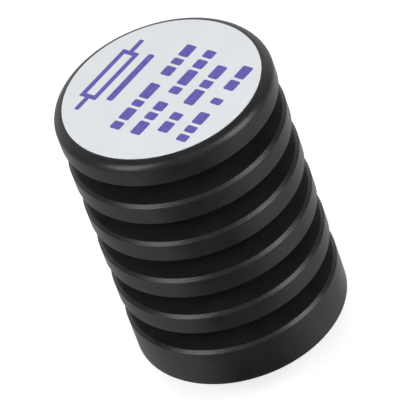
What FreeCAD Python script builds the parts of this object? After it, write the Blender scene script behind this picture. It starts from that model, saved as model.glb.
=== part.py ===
import FreeCAD, Part
import math
import os

# Plug-in load for the end of a coaxial line: a round finned heat sink with a power resistor in its base,
# carried by a screw-on plug with a free turning nut.
# All sizes are in millimetres. The axis is Z. The part stands on the free end of the coupling nut, at
# z = 0, and its round label faces up.

os.makedirs("parts", exist_ok=True)

# Heat sink, turned from one bar
body_length = 76.34
body_diameter = 57.15
core_diameter = 31.75
head_height = 6.5
head_edge_radius = 2.65
fin_count = 4
fin_chamfer = 0.84
groove_height = 6.97
groove_root_chamfer = 0.4
base_height = 11.59
base_edge_break = 0.2

# Label on the flat of the head
label_thickness = 0.25
label_margin = 0.05

# Plug interface: depths are measured from the free end of the outer contact
thread_major_diameter = 15.875
thread_depth = 0.4875
contact_recess = 1.2
contact_diameter = 8.12
contact_wall = 0.56
contact_edge_break = 0.2
contact_slot_count = 6
contact_slot_width = 0.4
contact_slot_length = 4.2
pin_diameter = 1.64
pin_lead = 0.6
pin_nose_length = 0.6
pin_nose_chamfer = 0.47
pin_shoulder_depth = 5.4
pin_shoulder_step = 0.7
pin_shoulder_chamfer = 0.2

# Root of the outer contact, pressed into the plug body
contact_root_step = 0.79
contact_root_wall = 0.45
contact_root_lead = 1.0
contact_step_wall = 0.2
contact_seat_depth = 2.6

# Gasket on the shoulder inside the nut
gasket_depth = 8.6
gasket_thickness = 1.2
gasket_edge_break = 0.25
gasket_setback = 0.1

# Plug body
neck_land = 0.6
neck_chamfer = 0.2
flange_thickness = 1.8
flange_edge_margin = 3.56
flange_corner_radius = 2.0

# Open ring that keeps the nut on the neck
ring_thickness = 0.8
ring_groove_depth = 0.7
ring_overhang = 0.65
ring_mouth = 3.0

# Coupling nut: the wall is measured from the thread, the steps from the knurled grip
nut_wall = 2.3625
nut_rim_step = 0.4
nut_rim_length = 1.6
nut_rim_chamfer = 0.6
nut_neck_step = 1.1
nut_step_chamfer = 0.3
nut_mouth_chamfer = 0.5
nut_thread_length = 8.2
nut_lip_thickness = 1.15
knurl_count = 48
knurl_depth = 0.4

# Pin and insulators in the plug body
front_bead_length = 2.0
collar_step = 0.68
collar_thickness = 0.7
pin_tail_step = 0.32
pin_tail_length = 3.0
pin_slot_depth = 2.2
bush_length = 1.0
bush_step = 1.1
bush_lap = 1.1

# Power resistor in the pocket of the base
resistor_flange_length = 13.97
resistor_flange_width = 5.08
resistor_flange_thickness = 1.5
resistor_hole_margin = 1.885
resistor_offset = 2.3
resistor_corner_radius = 0.5
substrate_thickness = 1.0
substrate_margin = 0.24
lid_end_margin = 0.34
lid_thickness = 0.6
lid_edge = 0.25
tab_width = 1.3
tab_thickness = 0.2
tab_pad_length = 0.9
tab_bend_radius = 0.4
tab_above_tail = 1.3

# Screws and washers: thread diameter, length from the head, head and driver slot
flange_screw_diameter = 2.84
flange_screw_length = 8.0
flange_head_diameter = 5.6
flange_head_height = 1.9
flange_head_bevel = 0.45
flange_slot_width = 0.8
flange_slot_depth = 0.8
flange_washer_thickness = 0.7
flange_washer_width = 1.1
resistor_screw_diameter = 2.18
resistor_screw_length = 5.0
resistor_head_diameter = 3.8
resistor_head_height = 1.3
resistor_head_bevel = 0.3
resistor_slot_width = 0.6
resistor_slot_depth = 0.55
resistor_washer_thickness = 0.4
resistor_washer_width = 1.0
screw_tip_chamfer = 0.3
washer_split = 0.5
drill_point_angle = 118.0

# Clearances
nut_running_clearance = 0.08
nut_axial_gap = 0.5
ring_axial_clearance = 0.05
ring_groove_clearance = 0.15
ring_nut_clearance = 0.3
gasket_clearance = 0.15
neck_to_thread = 0.45
bead_hole_clearance = 0.03
screw_hole_clearance = 0.18
thread_clearance = 0.02
washer_hole_clearance = 0.08
screw_hole_spare = 1.5
head_to_nut_side = 0.93
head_to_nut_end = 0.3
pocket_clearance = 0.25
substrate_to_washer = 0.39
tab_slot_clearance = 0.05
tab_end_clearance = 0.2
lid_to_tab = 0.2

# Radii worked out from the sizes above
body_radius = body_diameter / 2
core_radius = core_diameter / 2
flat_radius = body_radius - head_edge_radius
contact_radius = contact_diameter / 2
root_radius = contact_radius + contact_root_step
bead_radius = root_radius - contact_root_wall
pin_radius = pin_diameter / 2
shoulder_radius = pin_radius + pin_shoulder_step
tail_radius = shoulder_radius - pin_tail_step
thread_radius = thread_major_diameter / 2
bore_radius = thread_radius - thread_depth
neck_radius = bore_radius - neck_to_thread
ring_outer_radius = neck_radius + ring_overhang
ring_groove_radius = neck_radius - ring_groove_depth
nut_relief_radius = ring_outer_radius + ring_nut_clearance
nut_radius = thread_radius + nut_wall
nut_neck_radius = nut_radius - nut_neck_step
resistor_washer_radius = resistor_screw_diameter / 2 + washer_hole_clearance + resistor_washer_width

# Heights along the axis, worked upwards from the free end of the nut
contact_end_z = contact_recess
pin_tip_z = contact_end_z - pin_lead
pin_shoulder_z = contact_end_z + pin_shoulder_depth
gasket_z = contact_end_z + gasket_depth
neck_z = gasket_z + gasket_thickness
contact_root_z = neck_z - contact_root_lead
ring_groove_z = neck_z + neck_land
ring_z = ring_groove_z + ring_axial_clearance
ring_top_z = ring_z + ring_thickness
ring_groove_top_z = ring_top_z + ring_axial_clearance
nut_lip_z = ring_groove_top_z + ring_axial_clearance
nut_top_z = nut_lip_z + nut_lip_thickness
flange_z = nut_top_z + nut_axial_gap
base_z = flange_z + flange_thickness
front_bead_z = contact_root_z + contact_step_wall
collar_z = front_bead_z + front_bead_length
rear_bead_z = collar_z + collar_thickness
contact_back_z = neck_z + contact_seat_depth
bush_z = base_z - bush_length
pin_top_z = base_z + pin_tail_length
tab_z = pin_top_z + tab_above_tail
substrate_z = tab_z + tab_thickness
resistor_z = substrate_z + substrate_thickness
pocket_floor_z = resistor_z + resistor_flange_thickness
base_top_z = base_z + base_height
body_top_z = base_z + body_length
head_z = body_top_z - head_height
fin_pitch = (head_z - groove_height - base_top_z) / fin_count
screw_stack = flange_washer_thickness + flange_head_height
nut_neck_z = flange_z - screw_stack - head_to_nut_end

# Places of the screws
flange_screw_circle = nut_neck_radius + flange_head_diameter / 2 + head_to_nut_side
flange_hole_offset = flange_screw_circle / math.sqrt(2)
flange_size = 2 * (flange_hole_offset + flange_edge_margin)
flange_screw_places = [
    (sx * flange_hole_offset, sy * flange_hole_offset) for sx in (-1, 1) for sy in (-1, 1)
]
resistor_hole_spacing = resistor_flange_length - 2 * resistor_hole_margin
substrate_length = resistor_hole_spacing - 2 * (resistor_washer_radius + substrate_to_washer)
resistor_middle_y = resistor_offset + resistor_flange_width / 2
resistor_far_y = resistor_offset + resistor_flange_width
resistor_screw_places = [(sx * resistor_hole_spacing / 2, resistor_middle_y) for sx in (-1, 1)]
pocket_radius = math.hypot(resistor_flange_length / 2, resistor_far_y) + pocket_clearance

AXIS = FreeCAD.Vector(0, 0, 1)
ORIGIN = FreeCAD.Vector(0, 0, 0)

# Directions in the plane of an outline, in degrees
OUTWARD = 0
UPWARD = 90
INWARD = 180


class Outline:
    """A closed outline of lines and arcs, drawn in the plane of X and Z or of Y and Z."""

    def __init__(self, across, up, plane="XZ"):
        self.plane = plane
        self.start = self.point(across, up)
        self.end = self.start
        self.edges = []

    def point(self, across, up):
        if self.plane == "XZ":
            return FreeCAD.Vector(across, 0, up)
        return FreeCAD.Vector(0, across, up)

    def line(self, across, up):
        """Go straight to the next point."""
        target = self.point(across, up)
        if self.end.distanceToPoint(target) > 1e-6:
            self.edges.append(Part.makeLine(self.end, target))
        self.end = target
        return self

    def arc(self, centre, radius, from_degrees, to_degrees):
        """Go round a centre, from the angle of the last point to another one."""
        angles = [math.radians(a) for a in (from_degrees, (from_degrees + to_degrees) / 2, to_degrees)]
        points = [
            self.point(centre[0] + radius * math.cos(a), centre[1] + radius * math.sin(a)) for a in angles
        ]
        self.edges.append(Part.Arc(*points).toShape())
        self.end = points[2]
        return self

    def face(self):
        if self.end.distanceToPoint(self.start) > 1e-6:
            self.edges.append(Part.makeLine(self.end, self.start))
        return Part.Face(Part.Wire(self.edges))

    def turned(self):
        """The outline turned about the axis."""
        return self.face().revolve(ORIGIN, AXIS, 360)

    def extruded(self, length):
        """The outline drawn out along X, half to each side."""
        shape = self.face().extrude(FreeCAD.Vector(length, 0, 0))
        shape.translate(FreeCAD.Vector(-length / 2, 0, 0))
        return shape


def cylinder(radius, bottom, top, place=(0, 0)):
    """An upright cylinder between two heights."""
    return Part.makeCylinder(radius, top - bottom, FreeCAD.Vector(place[0], place[1], bottom))


def block(length, width, bottom, top, middle=(0, 0)):
    """An upright block between two heights, centred on a place."""
    corner = FreeCAD.Vector(middle[0] - length / 2, middle[1] - width / 2, bottom)
    return Part.makeBox(length, width, top - bottom, corner)


def ring(inner, outer, bottom, top):
    """A plain ring about the axis."""
    return cylinder(outer, bottom, top).cut(cylinder(inner, bottom, top))


def upright_edges(shape):
    return [e for e in shape.Edges if abs(e.tangentAt(e.FirstParameter).z) > 0.999]


def drilled_hole(radius, depth, mouth_z, place):
    """A blind hole that goes up from its mouth and ends in the cone of the drill."""
    point = radius / math.tan(math.radians(drill_point_angle / 2))
    hole = cylinder(radius, mouth_z, mouth_z + depth, place)
    at = FreeCAD.Vector(place[0], place[1], mouth_z + depth)
    return hole.fuse(Part.makeCone(radius, 0, point, at))


def heat_sink():
    """Head, fins and base on one core, bored and tapped from below."""
    rim = Outline(0, base_z)
    rim.line(body_radius - base_edge_break, base_z)
    rim.line(body_radius, base_z + base_edge_break)
    top = base_top_z
    for _ in range(fin_count + 1):
        floor = top + groove_height
        rim.line(body_radius, top - fin_chamfer)
        rim.line(body_radius - fin_chamfer, top)
        rim.line(core_radius + groove_root_chamfer, top)
        rim.line(core_radius, top + groove_root_chamfer)
        rim.line(core_radius, floor - groove_root_chamfer)
        rim.line(core_radius + groove_root_chamfer, floor)
        rim.line(body_radius, floor)
        top = top + fin_pitch
    rim.line(body_radius, body_top_z - head_edge_radius)
    rim.arc((flat_radius, body_top_z - head_edge_radius), head_edge_radius, OUTWARD, UPWARD)
    rim.line(0, body_top_z)
    shape = rim.turned().cut(cylinder(pocket_radius, base_z, pocket_floor_z))
    screw_reach = flange_screw_length - flange_thickness - flange_washer_thickness
    for place in flange_screw_places:
        radius = flange_screw_diameter / 2 + thread_clearance
        shape = shape.cut(drilled_hole(radius, screw_reach + screw_hole_spare, base_z, place))
    screw_reach = resistor_screw_length - resistor_flange_thickness - resistor_washer_thickness
    for place in resistor_screw_places:
        radius = resistor_screw_diameter / 2 + thread_clearance
        shape = shape.cut(drilled_hole(radius, screw_reach + screw_hole_spare, pocket_floor_z, place))
    return shape


def label():
    return cylinder(flat_radius - label_margin, body_top_z, body_top_z + label_thickness)


def plug_body():
    """Square flange and neck in one piece, bored for the contact, the beads and the bush."""
    flange = block(flange_size, flange_size, flange_z, base_z)
    flange = flange.makeFillet(flange_corner_radius, upright_edges(flange))
    neck = Outline(0, neck_z)
    neck.line(neck_radius - neck_chamfer, neck_z)
    neck.line(neck_radius, neck_z + neck_chamfer)
    neck.line(neck_radius, ring_groove_z)
    neck.line(ring_groove_radius, ring_groove_z)
    neck.line(ring_groove_radius, ring_groove_top_z)
    neck.line(neck_radius, ring_groove_top_z)
    neck.line(neck_radius, base_z)
    neck.line(0, base_z)
    shape = flange.fuse(neck.turned())
    shape = shape.cut(cylinder(root_radius, neck_z, contact_back_z))
    shape = shape.cut(cylinder(bead_radius, contact_back_z, bush_z))
    shape = shape.cut(cylinder(bead_radius + bush_step, bush_z, base_z))
    for place in flange_screw_places:
        radius = flange_screw_diameter / 2 + screw_hole_clearance
        shape = shape.cut(cylinder(radius, flange_z, base_z, place))
    return shape.removeSplitter()


def knurl_groove(bottom, top):
    """One straight groove of the knurl, as a wedge that points at the axis."""
    half_width = math.pi * nut_radius / knurl_count
    spare = 2 * knurl_depth
    reach = half_width * (knurl_depth + spare) / knurl_depth
    points = [
        FreeCAD.Vector(nut_radius - knurl_depth, 0, bottom),
        FreeCAD.Vector(nut_radius + spare, -reach, bottom),
        FreeCAD.Vector(nut_radius + spare, reach, bottom),
    ]
    face = Part.Face(Part.makePolygon(points + points[:1]))
    return face.extrude(FreeCAD.Vector(0, 0, top - bottom))


def coupling_nut():
    """Nut with a knurled grip, a threaded bore and an inner lip that the open ring catches."""
    rim_radius = nut_radius - nut_rim_step
    lip_radius = neck_radius + nut_running_clearance
    thread_top_z = nut_mouth_chamfer + nut_thread_length
    wall = Outline(bore_radius + nut_mouth_chamfer, 0)
    wall.line(rim_radius - nut_rim_chamfer, 0)
    wall.line(rim_radius, nut_rim_chamfer)
    wall.line(rim_radius, nut_rim_length)
    wall.line(nut_radius - nut_step_chamfer, nut_rim_length)
    wall.line(nut_radius, nut_rim_length + nut_step_chamfer)
    wall.line(nut_radius, nut_neck_z - nut_step_chamfer)
    wall.line(nut_radius - nut_step_chamfer, nut_neck_z)
    wall.line(nut_neck_radius, nut_neck_z)
    wall.line(nut_neck_radius, nut_top_z - nut_step_chamfer)
    wall.line(nut_neck_radius - nut_step_chamfer, nut_top_z)
    wall.line(lip_radius, nut_top_z)
    wall.line(lip_radius, nut_lip_z)
    wall.line(nut_relief_radius, nut_lip_z)
    wall.line(nut_relief_radius, thread_top_z)
    wall.line(bore_radius, thread_top_z)
    wall.line(bore_radius, nut_mouth_chamfer)
    grooves = []
    for i in range(knurl_count):
        groove = knurl_groove(nut_rim_length, nut_neck_z)
        groove.rotate(ORIGIN, AXIS, 360 * i / knurl_count)
        grooves.append(groove)
    return wall.turned().cut(grooves)


def retaining_ring():
    """Open ring, half in the groove of the neck and half in the relief of the nut."""
    shape = ring(ring_groove_radius + ring_groove_clearance, ring_outer_radius, ring_z, ring_top_z)
    return shape.cut(block(ring_outer_radius, ring_mouth, ring_z, ring_top_z, (ring_outer_radius, 0)))


def gasket():
    """Flat silicone ring on the end of the neck, with its free edges taken off."""
    inner = root_radius + gasket_clearance
    outer = neck_radius - gasket_setback
    section = Outline(inner + gasket_edge_break, gasket_z)
    section.line(outer - gasket_edge_break, gasket_z)
    section.line(outer, gasket_z + gasket_edge_break)
    section.line(outer, neck_z)
    section.line(inner, neck_z)
    section.line(inner, gasket_z + gasket_edge_break)
    return section.turned()


def outer_contact():
    """Barrel with spring fingers at its free end and a stepped root in the plug body."""
    inner = contact_radius - contact_wall
    barrel = Outline(inner, contact_end_z)
    barrel.line(contact_radius - contact_edge_break, contact_end_z)
    barrel.line(contact_radius, contact_end_z + contact_edge_break)
    barrel.line(contact_radius, contact_root_z)
    barrel.line(root_radius, contact_root_z)
    barrel.line(root_radius, contact_back_z)
    barrel.line(bead_radius, contact_back_z)
    barrel.line(bead_radius, front_bead_z)
    barrel.line(inner, front_bead_z)
    slot_end_z = contact_end_z + contact_slot_length
    slots = []
    for i in range(contact_slot_count):
        slot = block(root_radius, contact_slot_width, contact_end_z, slot_end_z, (root_radius, 0))
        slot.rotate(ORIGIN, AXIS, 360 * i / contact_slot_count)
        slots.append(slot)
    return barrel.turned().cut(slots)


def centre_pin():
    """Pin with a rounded nose, a shoulder, a collar trapped by the beads and a slotted tail."""
    collar_radius = shoulder_radius + collar_step
    pin = Outline(0, pin_tip_z)
    pin.line(pin_radius - pin_nose_chamfer, pin_tip_z)
    pin.line(pin_radius, pin_tip_z + pin_nose_length)
    pin.line(pin_radius, pin_shoulder_z)
    pin.line(shoulder_radius - pin_shoulder_chamfer, pin_shoulder_z)
    pin.line(shoulder_radius, pin_shoulder_z + pin_shoulder_chamfer)
    pin.line(shoulder_radius, collar_z)
    pin.line(collar_radius, collar_z)
    pin.line(collar_radius, rear_bead_z)
    pin.line(tail_radius, rear_bead_z)
    pin.line(tail_radius, pin_top_z)
    pin.line(0, pin_top_z)
    slot_width = tab_thickness + 2 * tab_slot_clearance
    slot = block(4 * tail_radius, slot_width, pin_top_z - pin_slot_depth, pin_top_z)
    return pin.turned().cut(slot)


def front_insulator():
    return ring(shoulder_radius + bead_hole_clearance, bead_radius, front_bead_z, collar_z)


def rear_insulator():
    return ring(tail_radius + bead_hole_clearance, bead_radius, rear_bead_z, bush_z)


def insulator_bush():
    return ring(bead_radius - bush_lap, bead_radius + bush_step, bush_z, base_z)


def resistor_flange():
    """Copper flange with two screw holes, flat on the floor of the pocket."""
    middle = (0, resistor_middle_y)
    shape = block(resistor_flange_length, resistor_flange_width, resistor_z, pocket_floor_z, middle)
    shape = shape.makeFillet(resistor_corner_radius, upright_edges(shape))
    for place in resistor_screw_places:
        radius = resistor_screw_diameter / 2 + screw_hole_clearance
        shape = shape.cut(cylinder(radius, resistor_z, pocket_floor_z, place))
    return shape


def resistor_substrate():
    width = resistor_flange_width - 2 * substrate_margin
    return block(substrate_length, width, substrate_z, resistor_z, (0, resistor_middle_y))


def resistor_lid():
    """Cover with bevelled edges, between the root of the tab and the far edge of the substrate."""
    near = resistor_offset + substrate_margin + tab_pad_length + lid_to_tab
    far = resistor_far_y - substrate_margin - lid_edge
    lid_length = substrate_length - 2 * lid_end_margin
    shape = block(lid_length, far - near, substrate_z - lid_thickness, substrate_z, (0, (near + far) / 2))
    lower_edges = [e for e in shape.Edges if e.BoundBox.ZMax < substrate_z - lid_thickness + 1e-6]
    return shape.makeChamfer(lid_edge / 2, lower_edges)


def resistor_tab():
    """Strip that leaves the substrate, bends at the axis and goes down into the pin's slot."""
    half = tab_thickness / 2
    root_y = resistor_offset + substrate_margin + tab_pad_length
    end_z = pin_top_z - pin_slot_depth + tab_end_clearance
    bend = (half + tab_bend_radius, tab_z - tab_bend_radius)
    strip = Outline(root_y, substrate_z, "YZ")
    strip.line(bend[0], substrate_z)
    strip.arc(bend, tab_bend_radius + tab_thickness, UPWARD, INWARD)
    strip.line(-half, end_z)
    strip.line(half, end_z)
    strip.line(half, bend[1])
    strip.arc(bend, tab_bend_radius, INWARD, UPWARD)
    strip.line(root_y, tab_z)
    return strip.extruded(tab_width)


def slotted_screw(shank, length, head, height, bevel, slot, seat_z):
    """Screw on the axis that points up, its bevelled head below the seat, with a slot for the driver.

    shank and head are radii, and slot is the width and depth of the driver's slot.
    """
    low = seat_z - height
    body = Outline(0, low)
    body.line(head - bevel, low)
    body.line(head, low + bevel)
    body.line(head, seat_z)
    body.line(shank, seat_z)
    body.line(shank, seat_z + length - screw_tip_chamfer)
    body.line(shank - screw_tip_chamfer, seat_z + length)
    body.line(0, seat_z + length)
    return body.turned().cut(block(2 * head, slot[0], low, low + slot[1]))


def at_places(shape, places):
    """Separate copies of a shape, one at each place."""
    copies = [shape.translated(FreeCAD.Vector(x, y, 0)) for x, y in places]
    return Part.makeCompound(copies)


def flange_screws():
    screw = slotted_screw(
        flange_screw_diameter / 2,
        flange_screw_length,
        flange_head_diameter / 2,
        flange_head_height,
        flange_head_bevel,
        (flange_slot_width, flange_slot_depth),
        flange_z - flange_washer_thickness,
    )
    return at_places(screw, flange_screw_places)


def flange_washers():
    """Lock washers, each cut through at one side."""
    inner = flange_screw_diameter / 2 + washer_hole_clearance
    outer = inner + flange_washer_width
    low = flange_z - flange_washer_thickness
    split = block(outer, washer_split, low, flange_z, ((outer + inner) / 2, 0))
    return at_places(ring(inner, outer, low, flange_z).cut(split), flange_screw_places)


def resistor_screws():
    screw = slotted_screw(
        resistor_screw_diameter / 2,
        resistor_screw_length,
        resistor_head_diameter / 2,
        resistor_head_height,
        resistor_head_bevel,
        (resistor_slot_width, resistor_slot_depth),
        resistor_z - resistor_washer_thickness,
    )
    return at_places(screw, resistor_screw_places)


def resistor_washers():
    inner = resistor_washer_radius - resistor_washer_width
    low = resistor_z - resistor_washer_thickness
    washer = ring(inner, resistor_washer_radius, low, resistor_z)
    return at_places(washer, resistor_screw_places)


PIECES = [
    heat_sink,
    label,
    plug_body,
    coupling_nut,
    retaining_ring,
    gasket,
    outer_contact,
    centre_pin,
    front_insulator,
    rear_insulator,
    insulator_bush,
    flange_screws,
    flange_washers,
    resistor_flange,
    resistor_substrate,
    resistor_lid,
    resistor_tab,
    resistor_screws,
    resistor_washers,
]


def build():
    for piece in PIECES:
        shape = piece()
        shape.exportStep("parts/" + piece.__name__ + ".step")
        print(piece.__name__, "solids:", len(shape.Solids), "cubic millimetres:", round(shape.Volume))


build()
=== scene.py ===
"""Looks of a finned plug-in load for the end of a coaxial line.

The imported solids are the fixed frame. The pieces that show are made again here with fine meshes and
finishes, in the places of their solids, and the hidden ones keep their solids with a finish of their own.
Lengths are in millimetres and angles in degrees, and each mesh is brought to metres when its object is made.
"""

import logging
import math
from collections.abc import Callable
from dataclasses import dataclass, replace
from enum import Enum

import bmesh
import bpy
from mathutils import Matrix, Vector


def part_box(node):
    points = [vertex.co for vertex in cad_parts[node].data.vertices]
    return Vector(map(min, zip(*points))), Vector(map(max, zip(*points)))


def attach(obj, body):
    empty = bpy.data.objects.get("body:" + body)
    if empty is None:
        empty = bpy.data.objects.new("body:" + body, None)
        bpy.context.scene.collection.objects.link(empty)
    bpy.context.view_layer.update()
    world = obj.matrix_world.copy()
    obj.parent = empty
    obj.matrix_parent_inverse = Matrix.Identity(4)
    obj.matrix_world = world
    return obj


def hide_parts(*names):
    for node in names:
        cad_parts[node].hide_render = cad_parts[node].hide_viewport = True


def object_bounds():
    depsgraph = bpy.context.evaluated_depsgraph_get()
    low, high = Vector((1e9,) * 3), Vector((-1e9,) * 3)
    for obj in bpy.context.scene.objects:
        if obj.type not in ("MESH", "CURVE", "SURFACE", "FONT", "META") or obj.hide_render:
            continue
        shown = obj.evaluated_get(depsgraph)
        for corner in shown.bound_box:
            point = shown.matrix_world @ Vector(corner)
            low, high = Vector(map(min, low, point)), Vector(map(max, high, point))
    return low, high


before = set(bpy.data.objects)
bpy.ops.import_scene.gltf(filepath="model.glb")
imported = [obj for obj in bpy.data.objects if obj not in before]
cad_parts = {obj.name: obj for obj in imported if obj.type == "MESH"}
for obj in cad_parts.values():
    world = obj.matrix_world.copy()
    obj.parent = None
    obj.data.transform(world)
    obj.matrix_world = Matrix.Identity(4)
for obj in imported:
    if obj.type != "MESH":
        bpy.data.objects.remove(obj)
CAD_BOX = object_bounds()

log = logging.getLogger("looks")

MM = 0.001
FULL_TURN = 2 * math.pi
MERGE_DISTANCE = 1e-5
AXIS = Vector((0, 0, 1))
ORIGIN = Vector((0, 0, 0))

# How far a cutter stands out of what it cuts.
SPARE = 1.0
# The frame gives one box for the four flange screws, and this places each of them in a corner of it.
SCREW_HEAD_RADIUS = 2.8

# Most of a noise pattern lies between these two values.
MIDDLE_RANGE = (0.3, 0.7)
# Octaves of noise in patches of shade, in fine marks, in rings and in flecks.
PATCH_DETAIL, MARK_DETAIL, RING_DETAIL, FLECK_DETAIL = 3.0, 2.0, 3.0, 1.0
# Share of the radius in the pattern of rings. Below 1, they lie wider apart on faces than on walls.
RING_RADIUS_SHARE = 0.6
# Sine of twice a face's slope, where flecks begin and where they show in full.
FLECK_RANGE = (0.5, 1.0)
# Sockets of the node that mixes two colours: both colours that go in, and the one that comes out.
FIRST_COLOUR, SECOND_COLOUR, MIXED_COLOUR = 6, 7, 2

Colour = tuple[float, float, float]
Place = tuple[float, float]
Pair = tuple[float, float]
Section = list[Place]
Mesh = bmesh.types.BMesh
Socket = bpy.types.NodeSocket


class Grain(Enum):
    """The way the fine marks of a finish run."""

    TURNED = "rings about the axis, left by the lathe"
    EVEN = "the same in all directions"


class Joining(Enum):
    """What a second mesh does to a first one."""

    ADD = "UNION"
    CUT = "DIFFERENCE"


class Change(Enum):
    """How a value goes from one level to another."""

    EVEN = "LINEAR"
    SOFT = "SMOOTHSTEP"


class NodeSheet:
    """A node tree, with short calls that add nodes and join them."""

    def __init__(self, tree: bpy.types.NodeTree) -> None:
        """Take a tree.

        Args:
            tree: The tree of a material or of the world.
        """
        self.tree = tree
        self.coordinates = self.add("ShaderNodeTexCoord").outputs
        self.place = self.coordinates["Object"]

    @property
    def shader(self) -> bpy.types.Node:
        """The shader that a new material has."""
        return self.tree.nodes["Principled BSDF"]

    def add(self, kind: str, inputs: dict | None = None, **settings: object) -> bpy.types.Node:
        """Add a node.

        Args:
            kind: The node's type.
            inputs: Values or source sockets, by the name or number of the input.
            settings: Properties of the node itself.

        Returns:
            The new node.
        """
        node = self.tree.nodes.new(kind)
        for key, value in settings.items():
            setattr(node, key, value)
        for key, value in (inputs or {}).items():
            if isinstance(value, Socket):
                self.tree.links.new(value, node.inputs[key])
            else:
                node.inputs[key].default_value = value
        return node

    def feed(self, source: Socket, name: str) -> None:
        """Lead a socket to an input of the shader."""
        self.tree.links.new(source, self.shader.inputs[name])

    def maths(self, operation: str, *values: Socket | float) -> Socket:
        """Work out a number from others."""
        return self.add("ShaderNodeMath", dict(enumerate(values)), operation=operation).outputs[0]

    def parts(self, direction: Socket) -> bpy.types.NodeOutputs:
        """The X, Y and Z of a direction or place."""
        return self.add("ShaderNodeSeparateXYZ", {"Vector": direction}).outputs

    def mixed(self, share: Socket, first: Socket, second: Socket) -> Socket:
        """The first shader where the share is 0, and the second where it is 1."""
        return self.add("ShaderNodeMixShader", {0: share, 1: first, 2: second}).outputs[0]

    def noise(self, size: float, detail: float) -> Socket:
        """A pattern of patches of a size, from 0 to 1, with octaves of finer patches within."""
        inputs = {"Vector": self.place, "Scale": 1 / (size * MM), "Detail": detail}
        return self.add("ShaderNodeTexNoise", inputs).outputs["Fac"]

    def rings(self, pitch: float) -> Socket:
        """Marks of the lathe: rings about the axis on walls, cones and faces alike.

        Args:
            pitch: Distance from one ring to the next on a wall.

        Returns:
            The socket that gives the pattern, from 0 to 1.
        """
        flat = self.add("ShaderNodeVectorMath", {0: self.place, 1: (1, 1, 0)}, operation="MULTIPLY")
        radius = self.add("ShaderNodeVectorMath", {0: flat.outputs[0]}, operation="LENGTH").outputs["Value"]
        along = self.maths("MULTIPLY_ADD", radius, RING_RADIUS_SHARE, self.parts(self.place)["Z"])
        inputs = {"W": along, "Scale": 1 / (pitch * MM), "Detail": RING_DETAIL}
        return self.add("ShaderNodeTexNoise", inputs, noise_dimensions="1D").outputs["Fac"]

    def spread(self, value: Socket, old: Pair, new: Pair = (0, 1), change: Change = Change.EVEN) -> Socket:
        """Bring a range of a value to another range, and hold the value at its ends beyond it.

        Args:
            value: The value.
            old: The range's first and last value.
            new: What they become.
            change: How the value goes from one to the other.

        Returns:
            The socket with the new value.
        """
        inputs = {"Value": value, "From Min": old[0], "From Max": old[1], "To Min": new[0], "To Max": new[1]}
        return self.add("ShaderNodeMapRange", inputs, interpolation_type=change.value).outputs["Result"]

    def ramp(self, pattern: Socket, stops: list[tuple[float, Colour]]) -> Socket:
        """Colour a pattern.

        Args:
            pattern: A pattern from 0 to 1.
            stops: Values of the pattern in rising order, each with its colour.

        Returns:
            The colour socket.
        """
        node = self.add("ShaderNodeValToRGB", {"Fac": pattern})
        elements = node.color_ramp.elements
        while len(elements) < len(stops):
            elements.new(1.0)
        for element, (value, colour) in zip(elements, stops):
            element.position = value
            element.color = (*colour, 1.0)
        return node.outputs["Color"]

    def slopes(self) -> Socket:
        """Find the sloping faces.

        Returns:
            The socket that is 1 on faces at 45 degrees, and falls to 0 on upright and level ones.
        """
        angle = self.maths("ARCSINE", self.parts(self.coordinates["Normal"])["Z"])
        slope = self.maths("SINE", self.maths("MULTIPLY", angle, 2.0))
        return self.spread(slope, FLECK_RANGE)

    def relief(
        self, pattern: Socket, height: float, under: Socket | None = None, strength: Socket | float = 1.0
    ) -> Socket:
        """Raise a pattern in the surface's shading.

        Args:
            pattern: A pattern from 0 to 1.
            height: Its height.
            under: The relief that it lies on, if there is one.
            strength: Share of the relief that shows.

        Returns:
            The normal socket.
        """
        inputs = {"Height": pattern, "Distance": height * MM, "Strength": strength}
        if under is not None:
            inputs["Normal"] = under
        return self.add("ShaderNodeBump", inputs).outputs["Normal"]


@dataclass(frozen=True)
class Finish:
    """A surface finish: two shades and two roughnesses in patches, and fine marks in relief.

    Patch, pitch and fleck_size are sizes, mark_height and fleck_height are heights. Flecks are what a hand
    tool leaves on broken edges: they lie on slopes, and not on walls and faces.
    """

    name: str
    slot: str
    shades: tuple[Colour, Colour]
    roughness: Pair
    patch: float
    grain: Grain
    pitch: float
    mark_height: float
    metallic: float = 0.0
    ior: float = 1.5
    subsurface: float = 0.0
    fleck_size: float = 0.0
    fleck_height: float = 0.0

    def dress(self, sheet: NodeSheet) -> None:
        """Set the shader's even values, and lead the patches and marks to it.

        Args:
            sheet: The material's node sheet.
        """
        inputs = sheet.shader.inputs
        inputs["Metallic"].default_value = self.metallic
        inputs["IOR"].default_value = self.ior
        inputs["Subsurface Weight"].default_value = self.subsurface
        inputs["Subsurface Scale"].default_value = MM
        patches = sheet.noise(self.patch, PATCH_DETAIL)
        sheet.feed(sheet.ramp(patches, list(zip(MIDDLE_RANGE, self.shades))), "Base Color")
        ringed = self.grain is Grain.TURNED
        marks = sheet.rings(self.pitch) if ringed else sheet.noise(self.pitch, MARK_DETAIL)
        mean = sheet.maths("MULTIPLY", sheet.maths("ADD", patches, marks), 0.5)
        sheet.feed(sheet.spread(mean, MIDDLE_RANGE, self.roughness), "Roughness")
        flecks: Socket | None = None
        if self.fleck_height > 0:
            pattern = sheet.noise(self.fleck_size, FLECK_DETAIL)
            flecks = sheet.relief(pattern, self.fleck_height, strength=sheet.slopes())
        sheet.feed(sheet.relief(marks, self.mark_height, flecks), "Normal")

    def material(self) -> bpy.types.Material:
        """Find the finish's material, or make it at its first use.

        Returns:
            The material.
        """
        found = bpy.data.materials.get(self.name)
        if found is not None:
            return found
        material = bpy.data.materials.new(self.name)
        material.use_nodes = True
        self.dress(NodeSheet(material.node_tree))
        return material


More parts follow.
